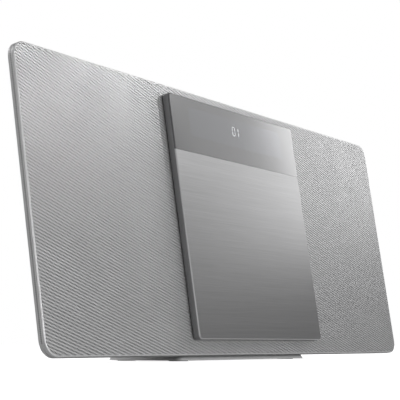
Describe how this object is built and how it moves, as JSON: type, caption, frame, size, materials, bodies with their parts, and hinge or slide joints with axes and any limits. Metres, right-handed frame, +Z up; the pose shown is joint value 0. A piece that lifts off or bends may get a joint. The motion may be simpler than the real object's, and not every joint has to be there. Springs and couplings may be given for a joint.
{
  "type": "mini hifi system",
  "caption": "Flat leaning audio system: wide perforated speaker panel, a centre door with display that slides aside to reach the disc drive, and a low plate stand.",
  "frame": {"origin": "centre of the footprint on the surface it stands on", "axes": "+X to the viewer's right along the panel, +Y towards the back, +Z up"},
  "size_m": [0.498, 0.092, 0.205],
  "materials": {
    "grille": "fine perforated silver-grey sheet",
    "baffle": "moulded black",
    "cabinet": "textured dark grey",
    "well": "fine matt black",
    "steel_rod": "ground",
    "door_metal": "horizontally brushed",
    "lens": "half-mirror gloss",
    "door_frame": "satin dark grey",
    "nylon": "natural nylon",
    "bracket_steel": "zinc plated",
    "motor_steel": "drawn can",
    "hub": "black",
    "ball": "polished",
    "rubber": "soft black",
    "optics": "coated lens",
    "sled": "glass-filled black",
    "basket": "black powder coat",
    "magnet": "ferrite with plated yoke",
    "paper": "pressed paper pulp",
    "display": "dark display glass",
    "cable": "flat flexible cable",
    "green_board": "soldermask",
    "amber_board": "paper laminate",
    "sink": "extruded",
    "key": "satin dark grey",
    "socket_black": "black",
    "socket_metal": "nickel plated",
    "screw": "plated",
    "stand_grey": "satin grey"
  },
  "bodies": {
    "cabinet": {"front_grille": "grille", "front_baffle": "baffle", "rear_cabinet": "cabinet", "disc_well": "well", "guide_rods": "steel_rod", "drive_bracket": "bracket_steel", "door_motor": "motor_steel", "spindle_motor": "motor_steel", "mech_chassis": "bracket_steel", "mech_dampers": "rubber", "sled_rods": "steel_rod", "feed_motor": "motor_steel", "driver_baskets": "basket", "driver_magnets": "magnet", "radiator_frames": "basket", "display_module": "display", "display_cable": "cable", "main_board": "green_board", "power_board": "amber_board", "heat_sink": "sink", "key_board": "green_board", "mains_inlet": "socket_black", "antenna_socket": "socket_metal", "usb_port": "socket_metal", "aux_jack": "socket_black", "cabinet_screws": "screw", "driver_screws": "screw", "mech_screws": "screw", "board_screws": "screw", "stand_base": "stand_grey", "stand_neck": "cabinet", "stand_screws": "screw", "rubber_feet": "rubber"},
    "door": {"door_plate": "door_metal", "display_lens": "lens", "door_frame": "door_frame", "door_rack": "nylon", "door_sliders": "nylon"},
    "door_gear": {"door_gear": "nylon"},
    "motor_pinion": {"motor_pinion": "nylon"},
    "turntable": {"turntable_hub": "hub", "hub_balls": "ball"},
    "pickup": {"pickup_sled": "sled", "pickup_lens": "optics"},
    "feed_gear": {"feed_gear": "nylon"},
    "feed_pinion": {"feed_pinion": "nylon"},
    "cone_left": {"cone_left": "paper", "suspension_left": "rubber"},
    "cone_right": {"cone_right": "paper", "suspension_right": "rubber"},
    "radiator_left": {"radiator_left": "paper", "radiator_surround_left": "rubber"},
    "radiator_right": {"radiator_right": "paper", "radiator_surround_right": "rubber"},
    "key_power": {"key_power": "key"},
    "key_open": {"key_open": "key"},
    "key_source": {"key_source": "key"},
    "key_play": {"key_play": "key"},
    "key_volume_down": {"key_volume_down": "key"},
    "key_volume_up": {"key_volume_up": "key"}
  },
  "joints": [
    {"name": "door_slide", "type": "slide", "parent": "cabinet", "child": "door", "axis": [1, 0, 0], "range_m": [0, 0.133]},
    {"name": "door_gear_spin", "type": "hinge", "parent": "cabinet", "child": "door_gear", "pos_m": [0.066, -0.01659, 0.14033], "axis": [0, 0.9877, -0.1564], "range_deg": [-1, 1273]},
    {"name": "motor_pinion_spin", "type": "hinge", "parent": "cabinet", "child": "motor_pinion", "pos_m": [0.066, -0.01607, 0.12445], "axis": [0, 0.9877, -0.1564], "range_deg": [-4238, 2]},
    {"name": "disc_spin", "type": "hinge", "parent": "cabinet", "child": "turntable", "pos_m": [-0.02, -0.02192, 0.08751], "axis": [0, 0.9877, -0.1564], "continuous": true},
    {"name": "pickup_slide", "type": "slide", "parent": "cabinet", "child": "pickup", "axis": [1, 0, 0], "range_m": [0, 0.034]},
    {"name": "feed_gear_spin", "type": "hinge", "parent": "cabinet", "child": "feed_gear", "pos_m": [0.021, -0.01452, 0.05749], "axis": [0, 0.9877, -0.1564], "range_deg": [-1, 559]},
    {"name": "feed_pinion_spin", "type": "hinge", "parent": "cabinet", "child": "feed_pinion", "pos_m": [0.02936, -0.01213, 0.04703], "axis": [0, 0.9877, -0.1564], "range_deg": [-1860, 2]},
    {"name": "cone_left_stroke", "type": "slide", "parent": "cabinet", "child": "cone_left", "axis": [0, -0.9877, 0.1564], "range_m": [-0.0015, 0.0015], "stiffness_N_per_m": 1200, "deforming": ["suspension_left"]},
    {"name": "radiator_left_stroke", "type": "slide", "parent": "cabinet", "child": "radiator_left", "axis": [0, -0.9877, 0.1564], "range_m": [-0.0015, 0.0015], "stiffness_N_per_m": 900, "deforming": ["radiator_surround_left"]},
    {"name": "cone_right_stroke", "type": "slide", "parent": "cabinet", "child": "cone_right", "axis": [0, -0.9877, 0.1564], "range_m": [-0.0015, 0.0015], "stiffness_N_per_m": 1200, "deforming": ["suspension_right"]},
    {"name": "radiator_right_stroke", "type": "slide", "parent": "cabinet", "child": "radiator_right", "axis": [0, -0.9877, 0.1564], "range_m": [-0.0015, 0.0015], "stiffness_N_per_m": 900, "deforming": ["radiator_surround_right"]},
    {"name": "key_power_press", "type": "slide", "parent": "cabinet", "child": "key_power", "axis": [0, -0.1564, -0.9877], "range_m": [0, 0.0008], "stiffness_N_per_m": 300},
    {"name": "key_open_press", "type": "slide", "parent": "cabinet", "child": "key_open", "axis": [0, -0.1564, -0.9877], "range_m": [0, 0.0008], "stiffness_N_per_m": 300},
    {"name": "key_source_press", "type": "slide", "parent": "cabinet", "child": "key_source", "axis": [0, -0.1564, -0.9877], "range_m": [0, 0.0008], "stiffness_N_per_m": 300},
    {"name": "key_play_press", "type": "slide", "parent": "cabinet", "child": "key_play", "axis": [0, -0.1564, -0.9877], "range_m": [0, 0.0008], "stiffness_N_per_m": 300},
    {"name": "key_volume_down_press", "type": "slide", "parent": "cabinet", "child": "key_volume_down", "axis": [0, -0.1564, -0.9877], "range_m": [0, 0.0008], "stiffness_N_per_m": 300},
    {"name": "key_volume_up_press", "type": "slide", "parent": "cabinet", "child": "key_volume_up", "axis": [0, -0.1564, -0.9877], "range_m": [0, 0.0008], "stiffness_N_per_m": 300}
  ],
  "couplings": [
    {"joint": "door_gear_spin", "follows": "door_slide", "rad_per_m": 166.67},
    {"joint": "motor_pinion_spin", "follows": "door_slide", "rad_per_m": -555.56},
    {"joint": "feed_gear_spin", "follows": "pickup_slide", "rad_per_m": 285.71},
    {"joint": "feed_pinion_spin", "follows": "pickup_slide", "rad_per_m": -952.38}
  ]
}
